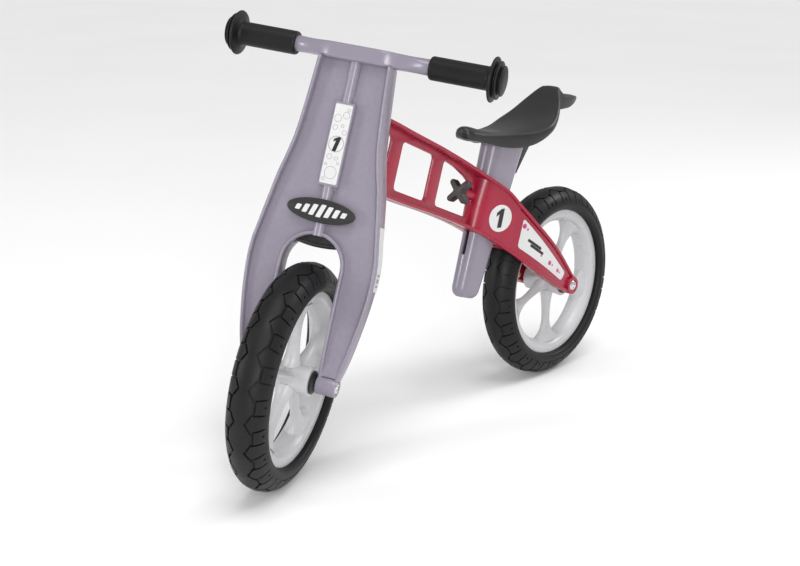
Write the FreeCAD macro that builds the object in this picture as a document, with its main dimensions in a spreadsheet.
"""A toddler's balance bike: two spoked wheels, a moulded fork with its handlebar, a moulded beam frame,
and a saddle on a tapered post that a star knob clamps.

Row frame: millimetres, +X forwards, +Y to the rider's left, +Z up, origin on the ground midway between
the two axles. At rest the fork is turned to the rider's left by turn_at_rest.

The frame and the seat are drawn from the rear axle, and each wheel and the fork from their own axle:
a fork piece has x forwards from the steering axis, y left and z up the steering axis.
"""
import FreeCAD, Part
import math
import os
import re
import Sketcher
from FreeCAD import Placement, Rotation, Vector

SIZES = {
    # the whole bike
    "wheelbase": 578.5,          # rear axle to the foot of the steering axis
    "wheel_radius": 152,         # outside of the tyre
    "tyre_half_width": 27.3,
    "tilt": 19.7,                # the steering axis leans back, degrees
    "turn_at_rest": 23.9,        # the fork is turned left, degrees
    # rim and hub
    "rim_edge_radius": 117.4,
    "rim_half_width": 17.9,
    "rim_wall": 2.9,
    "rim_bed_radius": 104.5,
    "rim_inner_radius": 96.5,
    "hub_radius": 20,
    "hub_waist": 17,
    "hub_half_width": 32,
    "spoke_count": 5,
    "spoke_root_half": 7,
    "spoke_tip_half": 24,
    "spoke_root_depth": 15,
    "spoke_tip_depth": 11,
    "tyre_wall": 3.5,
    "tube_radius": 15.5,         # inner tube, outside
    "tube_wall": 1,
    "valve_radius": 3.1,
    "valve_tip_radius": 82,      # how near the axle the valve's cap comes
    "cap_radius": 4.2,
    "cap_height": 9,
    "valve_angle": 36,           # from the first spoke to the valve, degrees
    "rear_wheel_turn": 36,       # of each wheel about its axle, degrees
    "front_wheel_turn": 12,
    # bearings, axles and their bolts
    "axle_radius": 5,
    "bearing_radius": 13,
    "bearing_width": 8,
    "ball_radius": 2.3,
    "ball_count": 8,
    "bolt_head_radius": 8,
    "bolt_head_height": 4,
    "bolt_shank_radius": 3,
    "bolt_shank_length": 18,
    "dust_cap_radius": 15.5,
    "dust_cap_tip": 9.5,
    "hub_play": 0.6,             # between a dust cap and the hub's end
    "front_boss_end": 66.8,      # outer end of a fork dropout boss from the middle
    "rear_boss_end": 52,
    # fork plate and its flanges
    "fork_waist": 49.5,          # half widths up the plate
    "fork_shoulder": 58,
    "fork_belly": 87.5,
    "fork_foot": 66,
    "waist_height": 410,
    "shoulder_height": 312,
    "belly_height": 142,
    "front_edge_foot": 14.5,
    "front_edge_top": 20.5,
    "flange_back": 19,           # how far behind the steering axis the flanges reach at the shoulder
    "flange_wall": 4.5,
    "plate_front": 9.5,
    "plate_wall": 4,
    "arch_half_width": 40,
    "arch_top": 186.5,
    "arch_lip": 5,
    "front_boss_radius": 12.7,
    "rib_half_width": 8,
    "rib_front": 17,
    "housing_half_width": 13.6,
    "housing_front": 17.6,
    "housing_low": 250.5,
    "housing_high": 359.5,
    # steering
    "rod_radius": 5,
    "head_radius": 11,
    "head_low": 262,             # ends of the frame's head tube up the steering axis
    "head_high": 357,
    "bush_radius": 7.5,
    "bush_flange": 1.5,
    "lug_radius": 13,
    "lug_height": 12,
    "washer_height": 1.5,
    "nut_half_flats": 8,
    "nut_height": 8,
    # handlebar and grips
    "bar_height": 426.5,
    "bar_radius": 10.7,
    "bar_back": 12,              # the grips lie this far behind the steering axis
    "bar_slab_half": 54,
    "bar_slab_low": 412.5,
    "bar_slab_high": 433.5,
    "grip_start": 92,
    "grip_radius": 15.5,
    "grip_flange_at": 176.5,
    "grip_flange_radius": 29.5,
    "grip_end": 192,
    "badge_height": 217.5,
    "badge_half_width": 47,
    "badge_half_height": 15.5,
    "badge_thickness": 2.2,
    "guard_low": 170,
    # frame beam
    "beam_half_width": 17,
    "beam_web_half": 6,
    "beam_flange": 5,
    "arm_half_width": 50,
    "arm_flange_width": 15,
    "arm_web": 4.5,
    "arm_web_recess": 3,
    "rear_boss_radius": 14,
    "wheel_well": 158,
    "wheel_well_half": 33,
    # seat post, its sleeve and clamp
    "post_foot_x": 239,          # of the post's lower front corner, from the rear axle
    "post_foot_z": 28.4,
    "post_lean": 18.5,
    "post_length": 222,
    "post_foot_depth": 47,
    "post_foot_half": 14,
    "post_taper": 0.14,          # the post deepens this much for each millimetre up
    "post_half_taper": 0.021,
    "post_wall": 3,
    "slot_half": 3.4,
    "slot_low": 66,
    "slot_high": 196,
    "seat_drop": 35,             # how far the seat can come down from rest
    "sleeve_gap": 0.4,
    "sleeve_side": 4.5,
    "sleeve_front": 10,
    "clamp_height": 151,         # of the clamp bolt up the post at rest
    "clamp_radius": 3,
    "knob_radius": 21.5,
    "knob_height": 13,
    "knob_arm_half": 5.5,
    "knob_gap": 0.5,
    "clamp_boss": 8,
    "clamp_boss_reach": 22,
    "clamp_plate_radius": 7,
    # beam outline and windows
    "beam_gap": 10,              # the beam's flanges stop this far behind the steering axis
    "top_bow": 12,
    "low_bow": 7,
    "shoulder_x": 150,           # where the beam's top edge turns down into the arms
    "shoulder_z": 178,
    "arm_root_x": 181,           # where the beam's lower edge turns into the arms
    "arm_root_z": 105.5,
    "arm_end_x": 35,
    "arm_end_top": 62.5,
    "arm_end_low": 3,
    "window_low": 276,           # up the steering axis, at the axis
    "window_high": 345,
    "window_low_fall": 0.06,     # how fast the windows' edges fall towards the seat
    "window_high_fall": 0.075,
    "head_land": 38,             # solid web behind the steering axis
    "rung_width": 23,
    # saddle
    "saddle_half_width": 47,
    "saddle_seat": 12,           # the bracket's top above the post's upper front corner, inside the saddle
    "bracket_half_width": 11,
    "bracket_reach": 26,
    "post_deck": 6,
    "screw_radius": 2.5,
    "screw_length": 28,
}

doc = FreeCAD.newDocument("balance_bike")
sheet = doc.addObject("Spreadsheet::Sheet", "sizes")
for row, (name, number) in enumerate(SIZES.items(), start=1):
    sheet.set(f"A{row}", name)
    sheet.set(f"B{row}", str(number))
    sheet.setAlias(f"B{row}", name)
doc.recompute()


# ---------------------------------------------------------------- helpers
def bound(text):
    """An expression in which every size is read from its cell."""
    return re.sub(r"[A-Za-z_]\w*", lambda m: "sizes." + m[0] if m[0] in SIZES else m[0], str(text))


def value(text):
    """What an expression comes to now."""
    return float(sheet.evalExpression(bound(text)))


def bind(obj, **properties):
    """Tie each property of an object to an expression; '__' stands for the dot of a sub-property."""
    for name, text in properties.items():
        obj.setExpression(name.replace("__", "."), bound(text))
    return obj


def constrain(sketch, kind, *where_and_text):
    *where, text = where_and_text
    index = sketch.addConstraint(Sketcher.Constraint(kind, *where, value(text)))
    sketch.setExpression(f"Constraints[{index}]", bound(text))


def draw_outline(sketch, path):
    """A closed outline. A step (x, y) is a corner; a step (x, y, "via") is a point on the arc between
    the corners before and after it."""
    corners = [k for k, step in enumerate(path) if len(step) == 2]
    ends = {}
    for here, following in zip(corners, corners[1:] + corners[:1]):
        start, end = (Vector(*map(value, path[k]), 0) for k in (here, following))
        if (following - here) % len(path) == 2:
            via = path[here + 1]
            middle = Vector(value(via[0]), value(via[1]), 0)
            anticlockwise = (middle - start).cross(end - middle).z > 0
            arc = Part.Arc(start, middle, end) if anticlockwise else Part.Arc(end, middle, start)
            edge = sketch.addGeometry(arc, False)
            point = sketch.addGeometry(Part.Point(middle), True)
            constrain(sketch, "DistanceX", -1, 1, point, 1, via[0])
            constrain(sketch, "DistanceY", -1, 1, point, 1, via[1])
            sketch.addConstraint(Sketcher.Constraint("PointOnObject", point, 1, edge))
            ends[here] = (edge, 1) if anticlockwise else (edge, 2)
            last = (edge, 2) if anticlockwise else (edge, 1)
        else:
            edge = sketch.addGeometry(Part.LineSegment(start, end), False)
            ends[here], last = (edge, 1), (edge, 2)
        ends[here] = (ends[here], last)
    for here, following in zip(corners, corners[1:] + corners[:1]):
        sketch.addConstraint(Sketcher.Constraint("Coincident", *ends[here][1], *ends[following][0]))
    for here in corners:
        edge, side = ends[here][0]
        constrain(sketch, "DistanceX", -1, 1, edge, side, path[here][0])
        constrain(sketch, "DistanceY", -1, 1, edge, side, path[here][1])


def draw_circle(sketch, x, y, radius):
    circle = Part.Circle(Vector(value(x), value(y), 0), Vector(0, 0, 1), value(radius))
    edge = sketch.addGeometry(circle, False)
    constrain(sketch, "DistanceX", -1, 1, edge, 3, x)
    constrain(sketch, "DistanceY", -1, 1, edge, 3, y)
    constrain(sketch, "Radius", edge, radius)


def draw(sketch, shapes):
    for shape in shapes:
        if shape[0] == "circle":
            draw_circle(sketch, *shape[1:])
        else:
            draw_outline(sketch, shape)
    return sketch


def new_body(name):
    return doc.addObject("PartDesign::Body", name)


def origin_feature(body, role):
    return next(f for f in body.Origin.OriginFeatures if f.Role == role)


def body_sketch(body, plane, shapes, height="0"):
    """A sketch on one of a body's own origin planes, or a height above it."""
    sketch = body.newObject("Sketcher::SketchObject", body.Name + "_sketch")
    sketch.AttachmentSupport = (origin_feature(body, plane), [""])
    sketch.MapMode = "FlatFace"
    bind(sketch, AttachmentOffset__Base__z=height)
    return draw(sketch, shapes)


def turned(name, shapes, plane="XY_Plane"):
    """A turned piece. On XY_Plane the outline is (radius, distance along Y); on XZ_Plane along Z."""
    body = new_body(name)
    sketch = body_sketch(body, plane, shapes)
    turn = body.newObject("PartDesign::Revolution", name + "_turn")
    turn.Profile = sketch
    turn.ReferenceAxis = (sketch, ["V_Axis"])
    turn.Angle = 360
    return body


def extruded(name, plane, shapes, start, end):
    """A plate cut to an outline, from start to end along the axis across its plane.
    side: outline in (x, z) across y; front: in (y, z) across x; top: in (x, y) across z."""
    sketch = doc.addObject("Sketcher::SketchObject", name + "_sketch")
    rotation, axis = {
        "side": (Rotation(Vector(1, 0, 0), 90), "y"),
        "front": (Rotation(Vector(1, 1, 1), 120), "x"),
        "top": (Rotation(), "z"),
    }[plane]
    sketch.Placement = Placement(Vector(), rotation)
    draw(sketch, shapes)
    bind(sketch, **{"Placement__Base__" + axis: start})
    plate = doc.addObject("Part::Extrusion", name)
    plate.Base = sketch
    plate.DirMode = "Custom"
    plate.Dir = {"side": Vector(0, 1, 0), "front": Vector(1, 0, 0), "top": Vector(0, 0, 1)}[plane]
    plate.Solid = True
    bind(plate, LengthFwd=f"({end}) - ({start})")
    return plate


def boolean(kind, name, *parts):
    """Cut (first minus the rest), Common or Fuse."""
    types = {"Cut": "Part::Cut", "Common": "Part::MultiCommon", "Fuse": "Part::MultiFuse"}
    result = doc.addObject(types[kind], name)
    if kind == "Cut":
        result.Base = parts[0]
        result.Tool = parts[1] if len(parts) == 2 else boolean("Fuse", name + "_tools", *parts[1:])
    else:
        result.Shapes = list(parts)
    result.Refine = kind == "Fuse"
    return result


def mirrored(name, source):
    """The same piece on the other side of the middle plane."""
    other = doc.addObject("Part::Mirroring", name)
    other.Source = source
    other.Normal = Vector(0, 1, 0)
    return other


def group(name, *pieces):
    """Separate solids that share a node."""
    compound = doc.addObject("Part::Compound", name)
    compound.Links = list(pieces)
    return compound


def pair(name, piece):
    return group(name, piece, mirrored(name + "_other", piece))


def rod(name, axis, radius, start, end, x="0", y="0", z="0"):
    """A cylinder from start to end along an axis through the point (x, y, z)."""
    cylinder = doc.addObject("Part::Cylinder", name)
    turns = {"x": Rotation(Vector(0, 1, 0), 90), "y": Rotation(Vector(1, 0, 0), -90), "z": Rotation()}
    cylinder.Placement = Placement(Vector(), turns[axis])
    base = {"x": x, "y": y, "z": z}
    base[axis] = f"({base[axis]}) + ({start})"
    bind(cylinder, Radius=radius, Height=f"({end}) - ({start})",
         **{"Placement__Base__" + letter: text for letter, text in base.items()})
    return cylinder


def box(name, low, high):
    block = doc.addObject("Part::Box", name)
    sides = dict(zip(("Length", "Width", "Height"), (f"({b}) - ({a})" for a, b in zip(low, high))))
    bind(block, **sides, **{"Placement__Base__" + letter: text for letter, text in zip("xyz", low)})
    return block


nodes = {}


def finish(piece, label, place):
    """Give a finished piece its name and its place in the row frame."""
    piece.Label = label
    piece.Placement = place.multiply(piece.Placement)
    nodes[label] = piece
    return piece


# ---------------------------------------------------------------- places
turn, tilt = value("turn_at_rest"), value("tilt")
rear_place = Placement(Vector(-value("wheelbase") / 2, 0, value("wheel_radius")), Rotation())
lean = math.asin(math.sin(math.radians(turn)) * math.sin(math.radians(tilt)))
crown_radius = value("wheel_radius - tyre_half_width")
front_axle_height = crown_radius * math.cos(lean) + value("tyre_half_width")
fork_place = Placement(
    Vector(value("wheelbase") / 2, 0, front_axle_height),
    Rotation(Vector(0, 1, 0), -tilt).multiply(Rotation(Vector(0, 0, 1), turn)))


def spun(place, angle):
    return place.multiply(Placement(Vector(), Rotation(Vector(0, 1, 0), value(angle))))


# ---------------------------------------------------------------- wheels
def make_rim(name):
    """Hub, five flared spokes and the tyre's channel, moulded in one."""
    rim = turned(name, [[
        ("bearing_radius", "hub_half_width"), ("hub_radius", "hub_half_width"),
        ("hub_waist", "0", "via"), ("hub_radius", "-hub_half_width"),
        ("bearing_radius", "-hub_half_width"), ("bearing_radius", "bearing_width - hub_half_width"),
        ("bearing_radius - 2", "bearing_width - hub_half_width"),
        ("bearing_radius - 2", "hub_half_width - bearing_width"),
        ("bearing_radius", "hub_half_width - bearing_width")]])

    def section(half, depth):
        return [[(half, "0"), ("0.45 * (" + half + ")", depth), ("-0.45 * (" + half + ")", depth),
                 ("-(" + half + ")", "0"), ("-0.45 * (" + half + ")", f"-({depth})"),
                 ("0.45 * (" + half + ")", f"-({depth})")]]

    root = body_sketch(rim, "XY_Plane", section("spoke_root_half", "spoke_root_depth"), "bearing_radius + 2")
    middle = body_sketch(rim, "XY_Plane", section("spoke_root_half + 1", "spoke_tip_depth - 1"),
                         "0.62 * rim_inner_radius")
    tip = body_sketch(rim, "XY_Plane", section("spoke_tip_half", "spoke_tip_depth"), "rim_inner_radius + 3")
    spoke = rim.newObject("PartDesign::AdditiveLoft", name + "_spoke")
    spoke.Profile = root
    spoke.Sections = [middle, tip]
    doc.recompute()
    spokes = rim.newObject("PartDesign::PolarPattern", name + "_spokes")
    spokes.Originals = [spoke]
    spokes.Axis = (origin_feature(rim, "Y_Axis"), [""])
    spokes.Angle = 360
    bind(spokes, Occurrences="spoke_count")
    rim.Tip = spokes
    channel = body_sketch(rim, "XY_Plane", [[
        ("rim_edge_radius", "rim_half_width"), ("rim_edge_radius", "rim_half_width - rim_wall"),
        ("rim_bed_radius", "rim_half_width - rim_wall"), ("rim_bed_radius", "rim_wall - rim_half_width"),
        ("rim_edge_radius", "rim_wall - rim_half_width"), ("rim_edge_radius", "-rim_half_width"),
        ("rim_bed_radius", "-rim_half_width + 0.5"), ("rim_inner_radius", "0", "via"),
        ("rim_bed_radius", "rim_half_width - 0.5")]])
    hoop = rim.newObject("PartDesign::Revolution", name + "_hoop")
    hoop.Profile = channel
    hoop.ReferenceAxis = (channel, ["V_Axis"])
    hoop.Angle = 360
    rim.Tip = hoop
    return rim


def make_tyre(name):
    """An inflated tyre whose beads sit in the rim's channel and whose shoulders lie on its edges."""
    shoulder = "rim_half_width - rim_wall - 0.1"
    low = "rim_bed_radius + 2.5"
    centre = "wheel_radius - tyre_half_width"
    tuck = "wheel_radius - tyre_half_width - rim_edge_radius"
    inner_tuck = tuck + " - tyre_wall"
    tuck_x = f"tyre_half_width - ({tuck})"
    cos45 = "cos(45)"

    def side(sign):
        """One side of the section from the crown to the bead, outside then inside."""
        s = "" if sign > 0 else "-"
        outside = [
            (f"{centre} + tyre_half_width * {cos45}", f"{s}(tyre_half_width * {cos45})", "via"),
            (centre, f"{s}(tyre_half_width)"),
            (f"{centre} - ({tuck}) * {cos45}", f"{s}({tuck_x} + ({tuck}) * {cos45})", "via"),
            ("rim_edge_radius", f"{s}({tuck_x})"),
            ("rim_edge_radius", f"{s}({shoulder})"), (low, f"{s}({shoulder})"),
            (low, f"{s}({shoulder} - tyre_wall)")]
        inside = [
            (f"rim_edge_radius + tyre_wall", f"{s}({shoulder} - tyre_wall)"),
            (f"rim_edge_radius + tyre_wall", f"{s}({tuck_x})"),
            (f"{centre} - ({inner_tuck}) * {cos45}", f"{s}({tuck_x} + ({inner_tuck}) * {cos45})", "via"),
            (centre, f"{s}(tyre_half_width - tyre_wall)"),
            (f"{centre} + (tyre_half_width - tyre_wall) * {cos45}",
             f"{s}((tyre_half_width - tyre_wall) * {cos45})", "via")]
        return outside + inside

    left, right = side(1), side(-1)
    return turned(name, [[("wheel_radius", "0")] + left + [("wheel_radius - tyre_wall", "0")] + right[::-1]])


def make_bearing_parts(prefix):
    """Two deep-groove bearings in the hub's ends: outer races, inner races and balls."""
    middle = "hub_half_width - bearing_width / 2"
    track = "(bearing_radius + axle_radius) / 2"
    groove = "ball_radius + 0.05"
    land = "0.6 * ball_radius"

    def race(name, wall, inwards):
        """A ring with the balls' groove in the side that faces them."""
        face = f"{track} + {inwards} * ({land})"
        reach = "hub_half_width"
        return turned(name, [[
            (wall, f"{reach} - bearing_width"), (wall, reach), (face, reach),
            (face, f"{middle} + 0.8 * ({groove})"),
            (f"{track} + {inwards} * ({groove})", middle, "via"),
            (face, f"{middle} - 0.8 * ({groove})"), (face, f"{reach} - bearing_width")]])

    outer = race(prefix + "_outer_race", "bearing_radius", "1")
    inner = race(prefix + "_inner_race", "axle_radius + 0.01", "-1")
    balls = []
    for k in range(int(value("ball_count"))):
        ball = doc.addObject("Part::Sphere", f"{prefix}_ball")
        bind(ball, Radius="ball_radius", Placement__Base__x=f"({track}) * cos({k} * 360 / ball_count)",
             Placement__Base__y=middle, Placement__Base__z=f"({track}) * sin({k} * 360 / ball_count)")
        balls.append(ball)
    ring = group(prefix + "_ball_ring", *balls)
    return (pair(prefix + "_outer_races", outer), pair(prefix + "_inner_races", inner),
            pair(prefix + "_balls", ring))


def make_axle_parts(prefix, boss_start, boss_end):
    """The axle rod, its two bolts and the two caps that keep dirt off the bearings."""
    axle = rod(prefix + "_axle_rod", "y", "axle_radius", f"bolt_head_height - {boss_end} - 1",
               f"{boss_end} + 1 - bolt_head_height")
    hole = rod(prefix + "_axle_hole", "y", "bolt_shank_radius",
               f"{boss_end} - bolt_head_height - bolt_shank_length", boss_end)
    axle = boolean("Cut", prefix + "_axle", axle, hole, mirrored(prefix + "_axle_hole_other", hole))
    head_low = f"{boss_end} + 1 - bolt_head_height"
    bolt = turned(prefix + "_bolt", [[
        ("0", f"{head_low} - bolt_shank_length"), ("bolt_shank_radius", f"{head_low} - bolt_shank_length"),
        ("bolt_shank_radius", head_low), ("bolt_head_radius", head_low),
        ("bolt_head_radius", f"{head_low} + bolt_head_height / 2"),
        ("0.75 * bolt_head_radius", f"{head_low} + 0.9 * bolt_head_height", "via"),
        ("bolt_head_radius / 2", f"{head_low} + bolt_head_height"),
        ("bolt_head_radius / 2", f"{head_low} + bolt_head_height / 2"),
        ("0", f"{head_low} + bolt_head_height / 2")]])
    cap = turned(prefix + "_dust_cap", [[
        ("axle_radius + 0.01", "hub_half_width"), ("axle_radius + 1.5", "hub_half_width"),
        ("axle_radius + 1.5", "hub_half_width + hub_play"), ("dust_cap_radius", "hub_half_width + hub_play"),
        ("dust_cap_radius", "hub_half_width + hub_play + 2"), ("dust_cap_tip", boss_start),
        ("axle_radius + 0.01", boss_start)]])
    return axle, pair(prefix + "_axle_bolts", bolt), pair(prefix + "_dust_caps", cap)


def make_wheel(prefix, wheel_place, carrier_place, boss_start, boss_end):
    valve_place = spun(wheel_place, "valve_angle")
    tube_centre = "wheel_radius - tyre_wall - 0.4 - tube_radius"
    rim = make_rim(prefix + "_rim_moulding")
    valve_hole = rod(prefix + "_valve_hole", "z", "valve_radius + 0.05", "rim_inner_radius - 12",
                     "rim_edge_radius")
    valve_hole = group(valve_hole.Name + "_placed", valve_hole)
    valve_hole.Placement = spun(Placement(), "valve_angle")
    finish(boolean("Cut", prefix + "_rim", rim, valve_hole), prefix + "_rim", wheel_place)
    finish(make_tyre(prefix + "_tyre"), prefix + "_tyre", wheel_place)
    finish(turned(prefix + "_inner_tube", [("circle", tube_centre, "0", "tube_radius"),
                                           ("circle", tube_centre, "0", "tube_radius - tube_wall")]),
           prefix + "_inner_tube", wheel_place)
    finish(turned(prefix + "_valve", [[
        ("0", "valve_tip_radius"), ("cap_radius", "valve_tip_radius"),
        ("cap_radius", "valve_tip_radius + cap_height"), ("valve_radius", "valve_tip_radius + cap_height"),
        ("valve_radius", f"{tube_centre} - tube_radius"), ("0", f"{tube_centre} - tube_radius")]],
        "XZ_Plane"), prefix + "_valve", valve_place)
    outer, inner, balls = make_bearing_parts(prefix)
    finish(outer, prefix + "_bearing_outer_races", wheel_place)
    finish(balls, prefix + "_bearing_balls", wheel_place)
    finish(inner, prefix + "_bearing_inner_races", carrier_place)
    for piece, label in zip(make_axle_parts(prefix, boss_start, boss_end),
                            ("_axle", "_axle_bolts", "_dust_caps")):
        finish(piece, prefix + label, carrier_place)


make_wheel("rear", spun(rear_place, "rear_wheel_turn"), rear_place, "arm_half_width - arm_flange_width",
           "rear_boss_end")
make_wheel("front", spun(fork_place, "front_wheel_turn"), fork_place, "arch_half_width", "front_boss_end")


# ---------------------------------------------------------------- fork with its handlebar
def fork_outline(shrink):
    """Half the plate's edge from its foot to its waist, drawn in by shrink; then mirrored."""
    half = [
        (f"fork_foot - {shrink}", "0"),
        (f"fork_belly - 6 - {shrink}", "0.55 * belly_height", "via"),
        (f"fork_belly - {shrink}", "belly_height"),
        (f"fork_belly - 4.5 - {shrink}", "belly_height + 0.4 * (254 - belly_height)", "via"),
        (f"fork_shoulder + 13 - {shrink}", "254"),
        (f"fork_shoulder - {shrink}", "shoulder_height", "via"),
        (f"fork_waist - {shrink}", "waist_height")]
    other = [("-(" + step[0] + ")",) + step[1:] for step in half[::-1]]
    return [half + other]


def arch_outline(grow):
    """The opening for the wheel: straight sides and a round top."""
    half = f"arch_half_width + {grow}"
    return [[(half, "-front_boss_radius - 10"), (half, f"arch_top - arch_half_width"),
             ("0", f"arch_top + {grow}", "via"), (f"-({half})", f"arch_top - arch_half_width"),
             (f"-({half})", "-front_boss_radius - 10")]]


side_profile = [[
    ("front_edge_foot", "-front_boss_radius"), ("front_edge_top", "waist_height + 6"),
    ("-flange_back + 6", "waist_height + 6"), ("-flange_back", "shoulder_height"),
    ("-0.72 * flange_back", "202"), ("-0.45 * flange_back", "belly_height - 10"),
    ("-0.45 * flange_back", "45"), ("-front_boss_radius", "0"), ("-front_boss_radius", "-front_boss_radius")]]
block = boolean("Common", "fork_block", extruded("fork_edge", "front", fork_outline("0"), "-40", "40"),
                extruded("fork_side", "side", side_profile, "-fork_belly - 5", "fork_belly + 5"))


def recess(name, start, end):
    """The hollow in front of or behind the plate, inside the flanges and outside the arch's lip."""
    return boolean("Cut", name, extruded(name + "_fill", "front", fork_outline("flange_wall"), start, end),
                   extruded(name + "_arch", "front", arch_outline("arch_lip"), start, end))


shell = boolean("Cut", "fork_shell", block, recess("fork_front_recess", "plate_front", "40"),
                recess("fork_back_recess", "-40", "plate_front - plate_wall"),
                extruded("fork_arch", "front", arch_outline("0"), "-45", "45"))
boss = rod("fork_boss", "y", "front_boss_radius", "arch_half_width", "front_boss_end")
rib = boolean("Fuse", "fork_rib",
              rod("fork_rib_round", "z", "rib_half_width", "arch_top + 1", "bar_slab_low + 2",
                  x="rib_front - rib_half_width"),
              box("fork_rib_block", ("plate_front - plate_wall", "-rib_half_width", "arch_top + 1"),
                  ("rib_front - rib_half_width", "rib_half_width", "bar_slab_low + 2")))
housing = box("fork_housing", ("-2", "-housing_half_width", "housing_low"),
              ("housing_front", "housing_half_width", "housing_high"))
upper_lug = rod("fork_upper_lug", "z", "lug_radius", "head_high + bush_flange + 0.5",
                "head_high + bush_flange + 0.5 + lug_height")
lower_lug = rod("fork_lower_lug", "z", "lug_radius", "head_low - bush_flange - 0.5 - lug_height",
                "head_low - bush_flange - 0.5")
slab = extruded("bar_slab", "front", [[
    ("bar_slab_half", "bar_slab_low"), ("bar_slab_half", "bar_slab_high"),
    ("-bar_slab_half", "bar_slab_high"), ("-bar_slab_half", "bar_slab_low")]],
    "-3", "front_edge_top")


def make_bar():
    """The round handlebar: straight across the plate's top, then swept back to the grips."""
    height, back = value("bar_height"), value("bar_back")
    front = value("front_edge_top - bar_radius")
    inner, outer = value("bar_slab_half - 6"), value("grip_start - 2")
    end = value("grip_flange_at + 4")
    middle = Vector((front - back) / 2, (inner + outer) / 2, height)
    path = [Vector(front, 0, height), Vector(front, inner, height), middle,
            Vector(-back, outer, height), Vector(-back, end, height)]
    reach = (outer - inner) / 2
    sweep_back = (front + back) / 2
    radius = (reach ** 2 + sweep_back ** 2) / (2 * sweep_back)
    angle = math.asin(reach / radius) / 2
    first = Vector(front - radius * (1 - math.cos(angle)), inner + radius * math.sin(angle), height)
    last = Vector(-back + radius * (1 - math.cos(angle)), outer - radius * math.sin(angle), height)
    wire = Part.Wire([
        Part.LineSegment(path[0], path[1]).toShape(), Part.Arc(path[1], first, middle).toShape(),
        Part.Arc(middle, last, path[3]).toShape(), Part.LineSegment(path[3], path[4]).toShape()])
    circle = Part.Wire([Part.Circle(path[0], Vector(0, 1, 0), value("bar_radius")).toShape()])
    bar = doc.addObject("Part::Feature", "bar_left")
    bar.Shape = wire.makePipeShell([circle], True, True)
    return bar


bar = make_bar()
fork_solid = boolean("Fuse", "fork_solid", shell, boss, mirrored("fork_boss_other", boss), rib, housing,
                     upper_lug, lower_lug, slab, bar, mirrored("bar_right", bar))
room = "(head_radius + 0.5)"
cavity = extruded("head_cavity", "top", [[
    ("0", room), (room, "0", "via"), ("0", "-" + room), ("-40", "-" + room), ("-40", room)]],
    "head_low - bush_flange - 0.5", "head_high + bush_flange + 0.5")
axle_bore = rod("fork_axle_bore", "y", "axle_radius + 0.05", "-front_boss_end - 1", "front_boss_end + 1")
bolt_seat = rod("fork_bolt_seat", "y", "bolt_head_radius + 0.5", "front_boss_end + 1 - bolt_head_height",
                "front_boss_end + 2")
rod_low = "head_low - bush_flange - 0.5 - lug_height"
rod_high = "head_high + bush_flange + 0.5 + lug_height"
rod_bore = rod("fork_rod_bore", "z", "rod_radius + 0.05", rod_low + " - 1", rod_high + " + 1")
head_room = rod("fork_head_room", "z", "1.35 * nut_half_flats", rod_low + " - nut_height - 8", rod_low)
nut_room = rod("fork_nut_room", "z", "1.35 * nut_half_flats", rod_high, rod_high + " + nut_height + 10")
fork = boolean("Cut", "fork", fork_solid, cavity, axle_bore, bolt_seat,
               mirrored("fork_bolt_seat_other", bolt_seat), rod_bore, head_room, nut_room)
finish(fork, "fork", fork_place)


# ---------------------------------------------------------------- steering
def hexagon(name, low, high):
    """A hexagonal prism about the steering axis."""
    corner = "nut_half_flats / cos(30)"
    outline = [(f"{corner} * cos({k * 60})", f"{corner} * sin({k * 60})") for k in range(6)]
    return extruded(name, "top", [outline], low, high)


steering_rod = boolean("Fuse", "steering_rod",
                       rod("rod_shank", "z", "rod_radius", rod_low + " - washer_height",
                           rod_high + " + nut_height + 4"),
                       hexagon("rod_head", rod_low + " - washer_height - nut_height",
                               rod_low + " - washer_height"))
finish(steering_rod, "steering_rod", fork_place)
nut = boolean("Cut", "steering_nut", hexagon("nut_block", rod_high + " + washer_height",
                                             rod_high + " + washer_height + nut_height"),
              rod("nut_thread", "z", "rod_radius + 0.01", rod_high, rod_high + " + 2 * nut_height"))
finish(nut, "steering_nut", fork_place)


def washer(name, low):
    return turned(name, [[("rod_radius + 0.05", low), ("nut_half_flats + 1.5", low),
                          ("nut_half_flats + 1.5", low + " + washer_height"),
                          ("rod_radius + 0.05", low + " + washer_height")]], "XZ_Plane")


finish(group("steering_washers", washer("washer_low", rod_low + " - washer_height"),
             washer("washer_high", rod_high)), "steering_washers", fork_place)


def bush(name, low, high, flange_low, flange_high):
    """A flanged sleeve between the rod and the head tube."""
    wide = "bush_radius + 3"
    if flange_low == low:
        outline = [("rod_radius + 0.06", low), (wide, low), (wide, flange_high), ("bush_radius", flange_high),
                   ("bush_radius", high), ("rod_radius + 0.06", high)]
    else:
        outline = [("rod_radius + 0.06", low), ("bush_radius", low), ("bush_radius", flange_low),
                   (wide, flange_low), (wide, high), ("rod_radius + 0.06", high)]
    return turned(name, [outline], "XZ_Plane")


head_place = rear_place.multiply(Placement(
    Vector(value("wheelbase"), 0, front_axle_height - value("wheel_radius")),
    Rotation(Vector(0, 1, 0), -tilt)))
finish(bush("upper_head_bush", "head_high - 20", "head_high + bush_flange",
            "head_high", "head_high + bush_flange"), "upper_head_bush", head_place)
finish(bush("lower_head_bush", "head_low - bush_flange", "head_low + 20",
            "head_low - bush_flange", "head_low"), "lower_head_bush", head_place)

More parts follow.
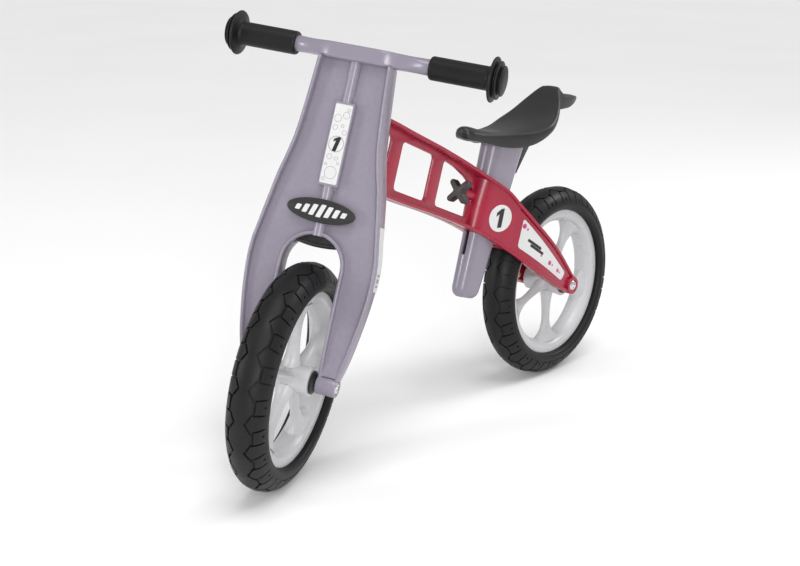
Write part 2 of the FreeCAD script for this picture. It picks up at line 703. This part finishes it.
# ---------------------------------------------------------------- grips, badge and guard
grip = turned("grip_turned", [[
    ("bar_radius + 0.05", "grip_start"), ("grip_radius - 1.5", "grip_start"),
    ("grip_radius", "grip_start + 3"), ("grip_radius", "grip_flange_at - 5"),
    ("grip_flange_radius - 1.5", "grip_flange_at - 2.2"),
    ("grip_flange_radius", "grip_flange_at", "via"), ("grip_flange_radius - 1.5", "grip_flange_at + 2.2"),
    ("grip_radius + 4", "grip_flange_at + 2.6"), ("grip_radius + 4", "grip_flange_at + 5.6"),
    ("0.84 * grip_flange_radius", "grip_flange_at + 5.8"),
    ("0.84 * grip_flange_radius", "grip_flange_at + 8.6"),
    ("grip_radius + 1", "grip_flange_at + 8.8"), ("grip_radius + 1", "grip_flange_at + 11"),
    ("0.66 * grip_flange_radius", "grip_flange_at + 11.2"),
    ("0.66 * grip_flange_radius", "grip_flange_at + 13.2"),
    ("0.4 * grip_flange_radius", "grip_end"), ("0", "grip_end"),
    ("0", "grip_flange_at + 4.1"), ("bar_radius + 0.05", "grip_flange_at + 4.1")]])
for label, piece in (("left_grip", grip), ("right_grip", mirrored("grip_mirrored", grip))):
    bar_line = Placement(Vector(-value("bar_back"), 0, value("bar_height")), Rotation())
    holder = group(label + "_piece", piece)
    finish(holder, label, fork_place.multiply(bar_line))

badge = doc.addObject("Part::Ellipse", "badge_edge")
badge.Placement = Placement(Vector(), Rotation(Vector(1, 1, 1), 120))
bind(badge, MajorRadius="badge_half_width", MinorRadius="badge_half_height",
     Placement__Base__x="rib_front + 0.1", Placement__Base__z="badge_height")
badge_plate = doc.addObject("Part::Extrusion", "badge_plate")
badge_plate.Base = badge
badge_plate.DirMode = "Custom"
badge_plate.Dir = Vector(1, 0, 0)
badge_plate.Solid = True
bind(badge_plate, LengthFwd="badge_thickness")
finish(badge_plate, "fork_badge", fork_place)

guard = extruded("guard_block", "front", [[
    ("arch_half_width - 0.5", "arch_top + 5"), ("arch_half_width - 0.5", "guard_low + 2"),
    ("0", "guard_low - 1", "via"), ("0.5 - arch_half_width", "guard_low + 2"),
    ("0.5 - arch_half_width", "arch_top + 5")]], "-8", "4")
guard_fit = extruded("guard_fit", "front", arch_outline("-0.3"), "-9", "5")
guard = boolean("Common", "arch_guard", guard, guard_fit)
finish(guard, "arch_guard", fork_place)


# ---------------------------------------------------------------- frame
def on_axis(up, ahead):
    """The point up the steering axis and ahead of it, as expressions for x and z from the rear axle."""
    return (f"wheelbase - sin(tilt) * ({up}) + cos(tilt) * ({ahead})",
            f"{front_axle_height:.4f} - wheel_radius + cos(tilt) * ({up}) + sin(tilt) * ({ahead})")


def between(first, second, rise):
    """The point over the middle of two others."""
    return f"(({first[0]}) + ({second[0]})) / 2", f"(({first[1]}) + ({second[1]})) / 2 + ({rise})", "via"


def beam_outline(shrink, gap):
    """The beam and arms from the side, drawn in by shrink, ending at a gap behind the steering axis."""
    head_top = on_axis(f"head_high - {shrink}", f"-({gap})")
    head_low = on_axis(f"head_low + {shrink}", f"-({gap})")
    shoulder = ("shoulder_x", f"shoulder_z - 1.15 * {shrink}")
    root = ("arm_root_x", f"arm_root_z + 1.15 * {shrink}")
    return [[
        head_top, between(head_top, shoulder, "top_bow"), shoulder,
        ("arm_end_x", f"arm_end_top - 1.4 * {shrink}"),
        (f"{shrink} - 0.65 * rear_boss_radius", f"0.7 * rear_boss_radius - {shrink}"),
        ("0.7 * rear_boss_radius", f"{shrink} - 0.68 * rear_boss_radius"),
        ("arm_end_x", f"arm_end_low + 1.2 * {shrink}"), root, between(root, head_low, "low_bow"), head_low]]


def plan(edge, width):
    """The left half of the beam from above: edge is how far inside the flange's rim, width how wide."""
    def x_y(x, y, *via):
        return (x, f"{y} - {edge}", *via)

    def back(x, y, *via):
        return (x, f"{y} - {edge} - {width}", *via)

    blend = "0.62 * arm_half_width + 0.38 * beam_half_width"
    return [
        x_y("arm_root_x + 16", "beam_half_width + 5"),
        x_y("arm_root_x - 10", "beam_half_width + 10.5", "via"),
        x_y("shoulder_x - 14", blend), x_y("shoulder_x - 48", "arm_half_width - 4", "via"),
        x_y("shoulder_x - 82", "arm_half_width"), x_y("-rear_boss_radius", "arm_half_width"),
        back("-rear_boss_radius", "arm_half_width"), back("shoulder_x - 82", "arm_half_width"),
        back("shoulder_x - 46", "arm_half_width - 4", "via"), back("shoulder_x - 12", blend),
        back("arm_root_x - 8", "beam_half_width + 10.5", "via"),
        back("arm_root_x + 16", "beam_half_width + 5")]


def arm_parts(name, outline, edge, width):
    """One side's share of an outline, following the arms' sweep from above."""
    tall = extruded(name + "_tall", "top", [plan(edge, width)], "-60", "400")
    left = boolean("Common", name, outline, tall)
    return left, mirrored(name + "_other", left)


full = extruded("beam_side", "side", beam_outline("0", "beam_gap"), "-60", "60")
inner = extruded("beam_side_inner", "side", beam_outline("beam_flange", "beam_gap - 9"), "-61", "61")
bands = boolean("Cut", "beam_bands", full, inner)
front_box = box("beam_front", ("arm_root_x - 8", "-beam_half_width", "0"),
                ("wheelbase", "beam_half_width", "wheelbase"))
front_bands = boolean("Common", "beam_front_bands", bands, front_box)
bridge = box("beam_bridge", ("shoulder_x - 16", "-beam_half_width - 6", "0"),
             ("arm_root_x + 40", "beam_half_width + 6", "wheelbase"))
bridge_bands = boolean("Common", "beam_bridge_bands", bands, bridge)
web = extruded("beam_web", "side", beam_outline("0", "0"), "-beam_web_half", "beam_web_half")
web = boolean("Common", "beam_front_web", web, front_box)
panel_left, panel_right = arm_parts("arm_panel", full, "arm_web_recess", "arm_web")
band_left, band_right = arm_parts("arm_band", bands, "0", "arm_flange_width")

# seat sleeve: a tapered hole for the tapered post, with walls round it
post_in_frame = Placement(Vector(value("post_foot_x"), 0, value("post_foot_z")),
                          Rotation(Vector(0, 1, 0), -value("post_lean")))


def tapered(name, low, high, grow="0", front="0", shift="0", place=Placement()):
    """A lofted bar with the post's rounded section between two heights: x forwards, y left, z up the post."""
    rings = []
    for end, height in (("low", low), ("high", high)):
        half = f"(post_foot_half + post_half_taper * (({height}) + ({shift})) + ({grow}))"
        rear = f"(post_foot_depth + post_taper * (({height}) + ({shift})) + ({grow}))"
        centre = f"(post_foot_half + post_half_taper * (({height}) + ({shift})))"
        sketch = doc.addObject("Sketcher::SketchObject", f"{name}_{end}")
        draw(sketch, [[(f"-{centre}", half), (front, "0", "via"), (f"-{centre}", f"-{half}"),
                       (f"{half} - {rear}", f"-{half}"), (f"-{rear}", "0", "via"),
                       (f"{half} - {rear}", half)]])
        bind(sketch, Placement__Base__z=height)
        rings.append(sketch)
    bar = doc.addObject("Part::Loft", name)
    bar.Sections = rings
    bar.Solid = True
    bar.Placement = place
    return bar


sleeve = boolean("Common", "seat_sleeve",
                 tapered("sleeve_outside", "40", "post_length", "sleeve_side", "sleeve_front", "seat_drop",
                         post_in_frame), full)
sleeve_hole = tapered("sleeve_hole", "0", "post_length + 20", "sleeve_gap", "sleeve_gap", "seat_drop",
                      post_in_frame)


def placed(piece, place):
    holder = group(piece.Name + "_placed", piece)
    holder.Placement = place
    return holder


clamp_boss = placed(rod("clamp_boss_rod", "x", "clamp_boss", "-2", "sleeve_front + clamp_boss_reach",
                        z="clamp_height"), post_in_frame)
clamp_bore = placed(rod("clamp_bore_rod", "x", "clamp_radius + 0.3", "-20",
                        "sleeve_front + clamp_boss_reach + 1", z="clamp_height"), post_in_frame)

# windows between the rungs, parallel to the steering axis
sleeve_face = value("cos(tilt) * (wheelbase - post_foot_x + clamp_height * sin(post_lean)) "
                    "- sin(tilt) * (post_foot_z + clamp_height * cos(post_lean)) - sleeve_front")
window_room = sleeve_face - value("head_land + 2 * rung_width")
edges = []
start = value("head_land")
for share in (0.27, 0.34, 0.39):
    edges.append((start, start + share * window_room))
    start = edges[-1][1] + value("rung_width")


def window(k, near, far):
    """A gap in the web between two rungs; the one by the seat has its upper corner swept down."""
    def corner(back, edge):
        return on_axis(f"{edge} - {edge}_fall * {back:.3f}", f"-{back:.3f}")

    if k < 2:
        outline = [corner(near, "window_high"), corner(far, "window_high"), corner(far, "window_low"),
                   corner(near, "window_low")]
    else:
        drop = on_axis(f"window_high - window_high_fall * {far:.3f} - 22", f"-{far + 4:.3f}")
        sweep = on_axis(f"window_high - window_high_fall * {far:.3f} - 5", f"-{(near + 2 * far) / 3:.3f}")
        outline = [corner(near, "window_high"), sweep + ("via",), drop, corner(far - 4, "window_low"),
                   corner(near, "window_low")]
    return extruded(f"window_{k}", "side", [outline], "-beam_half_width - 1", "beam_half_width + 1")


windows = [window(k, *edge) for k, edge in enumerate(edges)]
web = boolean("Cut", "beam_ladder", web, *windows)

head_in_frame = Placement(Vector(value("wheelbase"), 0, front_axle_height - value("wheel_radius")),
                          Rotation(Vector(0, 1, 0), -tilt))

head_tube = placed(rod("head_tube", "z", "head_radius", "head_low", "head_high"), head_in_frame)
head_trims = [
    placed(rod("head_trim_low", "z", "lug_radius + 1.5", "head_low - lug_height - 12", "head_low"),
           head_in_frame),
    placed(rod("head_trim_high", "z", "lug_radius + 1.5", "head_high", "head_high + lug_height + 12"),
           head_in_frame)]
head_bore = placed(rod("head_bore", "z", "bush_radius + 0.02", "head_low - 10", "head_high + 10"),
                   head_in_frame)
rear_boss = rod("rear_boss", "y", "rear_boss_radius", "arm_half_width - arm_flange_width", "rear_boss_end")
rear_bore = rod("rear_bore", "y", "axle_radius + 0.05", "-rear_boss_end - 1", "rear_boss_end + 1")
rear_seat = rod("rear_bolt_seat", "y", "bolt_head_radius + 0.5", "rear_boss_end + 1 - bolt_head_height",
                "rear_boss_end + 2")
well = rod("wheel_well_rod", "y", "wheel_well", "-wheel_well_half", "wheel_well_half")
frame_solid = boolean("Fuse", "frame_solid", front_bands, bridge_bands, web, panel_left, panel_right,
                      band_left, band_right, sleeve, clamp_boss, head_tube, rear_boss,
                      mirrored("rear_boss_other", rear_boss))
main_frame = boolean("Cut", "main_frame", frame_solid, *head_trims, sleeve_hole, clamp_bore, head_bore,
                     rear_bore, rear_seat, mirrored("rear_bolt_seat_other", rear_seat), well)
finish(main_frame, "main_frame", rear_place)

# ---------------------------------------------------------------- seat post and saddle
post_place = rear_place.multiply(post_in_frame)
slot = extruded("post_slot", "front", [[
    ("slot_half", "slot_low"), ("slot_half", "slot_high"), ("0", "slot_high + slot_half", "via"),
    ("-slot_half", "slot_high"), ("-slot_half", "slot_low"), ("0", "slot_low - slot_half", "via")]],
    "-post_foot_half - 2", "2")
screw_spots = ("-0.3", "-0.7")
screw_depth = "(post_foot_depth + post_taper * post_length)"
screw_holes = [rod(f"screw_hole_{k}", "z", "screw_radius + 0.01", "post_length - post_deck - 1",
                   "post_length - post_deck + screw_length + 0.5", x=f"{share} * {screw_depth}")
               for k, share in enumerate(screw_spots)]
seat_post = boolean("Cut", "seat_post", tapered("post_outside", "0", "post_length"),
                    tapered("post_hollow", "post_wall", "post_length - post_deck", "-post_wall",
                            "-post_wall"),
                    slot, *screw_holes)
finish(seat_post, "seat_post", post_place)

SADDLE = (  # x ahead of the post's upper front corner, share of the half width, edge, crown, underside
    (65, 0.08, 33, 36, 30), (59, 0.20, 31, 38, 25), (46, 0.33, 29, 40, 20), (21, 0.42, 23, 33, 13),
    (-9, 0.57, 18, 29, 4), (-39, 0.75, 16, 26, 0), (-69, 0.92, 19, 26, 1), (-99, 1.00, 27, 31, 8),
    (-124, 0.98, 38, 42, 17), (-149, 0.84, 49, 54, 28), (-172, 0.56, 54, 59, 36), (-186, 0.34, 52, 56, 41),
    (-205, 0.25, 50, 53, 43), (-235, 0.08, 47, 49, 45))


def make_saddle():
    """Lens-shaped sections from the nose to the tail, level above the post's upper front corner."""
    rings = []
    for x, share, edge, crown, under in SADDLE:
        half = share * value("saddle_half_width")
        left, right = Vector(x, half, edge), Vector(x, -half, edge)
        rings.append(Part.Wire([Part.Arc(left, Vector(x, 0, crown), right).toShape(),
                                Part.Arc(right, Vector(x, 0, under), left).toShape()]))
    saddle = doc.addObject("Part::Feature", "saddle_shell")
    saddle.Shape = Part.makeLoft(rings, True)
    level = Rotation(Vector(0, 1, 0), value("post_lean"))
    saddle.Placement = Placement(Vector(0, 0, value("post_length")), level)
    return saddle


saddle = make_saddle()
seat_line = "post_length + saddle_seat + tan(post_lean)"
bracket_block = extruded("bracket_block", "side", [[
    ("-6", "post_length"), (f"-{screw_depth}", "post_length"),
    (f"-{screw_depth} + 24 * post_taper", "post_length - 24"),
    (f"-{screw_depth} - bracket_reach", f"{seat_line} * ({screw_depth} + bracket_reach)"),
    ("-6", f"{seat_line} * 6")]], "-bracket_half_width", "bracket_half_width")
bracket = boolean("Cut", "saddle_bracket", bracket_block, saddle, *screw_holes)
finish(bracket, "saddle_bracket", post_place)
screws = []
for k, share in enumerate(screw_spots):
    under = "post_length - post_deck"
    spot = f"{share} * {screw_depth}"
    screws.append(boolean("Fuse", f"screw_{k}",
                          rod(f"screw_shank_{k}", "z", "screw_radius", under + " - 1",
                              under + " + screw_length", x=spot),
                          rod(f"screw_head_{k}", "z", "1.8 * screw_radius", under + " - 3", under, x=spot)))
finish(group("saddle_screws", *screws), "saddle_screws", post_place)
finish(boolean("Cut", "saddle", saddle, *screw_holes), "saddle", post_place)

# ---------------------------------------------------------------- seat clamp and its knob
face = "sleeve_front + clamp_boss_reach"
plate_back = "-post_wall - 6"
plate = boolean("Common", "clamp_plate",
                rod("clamp_plate_disc", "x", "clamp_plate_radius", plate_back, "0", z="clamp_height"),
                tapered("clamp_plate_fit", "clamp_height - 20", "clamp_height + 20", "-post_wall - 0.5",
                        "-post_wall - 0.5"))
plate = boolean("Cut", "clamp_plate_bored", plate,
                rod("clamp_plate_bore", "x", "clamp_radius + 0.05", "-30", "0", z="clamp_height"))
finish(plate, "clamp_plate", post_place)
bolt_end = face + " + knob_gap + knob_height - 3"
clamp_bolt = boolean("Fuse", "clamp_bolt",
                     rod("clamp_shank", "x", "clamp_radius", plate_back, bolt_end, z="clamp_height"),
                     rod("clamp_head", "x", "1.8 * clamp_radius", plate_back + " - 3", plate_back,
                         z="clamp_height"))
finish(clamp_bolt, "clamp_bolt", post_place)


def star_outline():
    """Four rounded arms with hollows swept between them."""
    path = []
    for k in range(4):
        arm = 45 + 90 * k
        for side in (-1, 0, 1):
            along = "knob_radius" if side == 0 else "knob_radius - knob_arm_half"
            across = f"{side} * knob_arm_half"
            point = (f"({along}) * cos({arm}) - ({across}) * sin({arm})",
                     f"clamp_height + ({along}) * sin({arm}) + ({across}) * cos({arm})")
            path.append(point + ("via",) if side == 0 else point)
        path.append((f"1.6 * knob_arm_half * cos({arm + 45})",
                     f"clamp_height + 1.6 * knob_arm_half * sin({arm + 45})", "via"))
    return [path]


knob_low, knob_high = face + " + knob_gap", face + " + knob_gap + knob_height"
insert_radius = "clamp_radius + 2"
knob = boolean("Cut", "star_knob", extruded("knob_star", "front", star_outline(), knob_low, knob_high),
               rod("knob_bore", "x", insert_radius + " + 0.01", knob_low + " - 1", bolt_end + " + 0.5",
                   z="clamp_height"))
finish(knob, "star_knob", post_place)
insert = boolean("Cut", "knob_insert",
                 rod("insert_body", "x", insert_radius, knob_low, bolt_end + " + 0.5", z="clamp_height"),
                 rod("insert_thread", "x", "clamp_radius + 0.05", knob_low + " - 1", bolt_end + " + 1",
                     z="clamp_height"))
finish(insert, "knob_insert", post_place)

# ---------------------------------------------------------------- check and write
doc.recompute()
for obj in doc.Objects:
    if {"Invalid", "Error"} & set(obj.State):
        raise RuntimeError(f"{obj.Name} ({obj.Label}) failed: {obj.State}")
os.makedirs("parts", exist_ok=True)
for label, obj in nodes.items():
    shape = obj.Shape
    if shape.isNull() or not shape.isValid() or not shape.Solids:
        raise RuntimeError(f"{label} has no valid shape")
    shape.exportStep(f"parts/{label}.step")
    print(f"{label}: {len(shape.Solids)} solids, {shape.Volume / 1000:.2f} cm3")
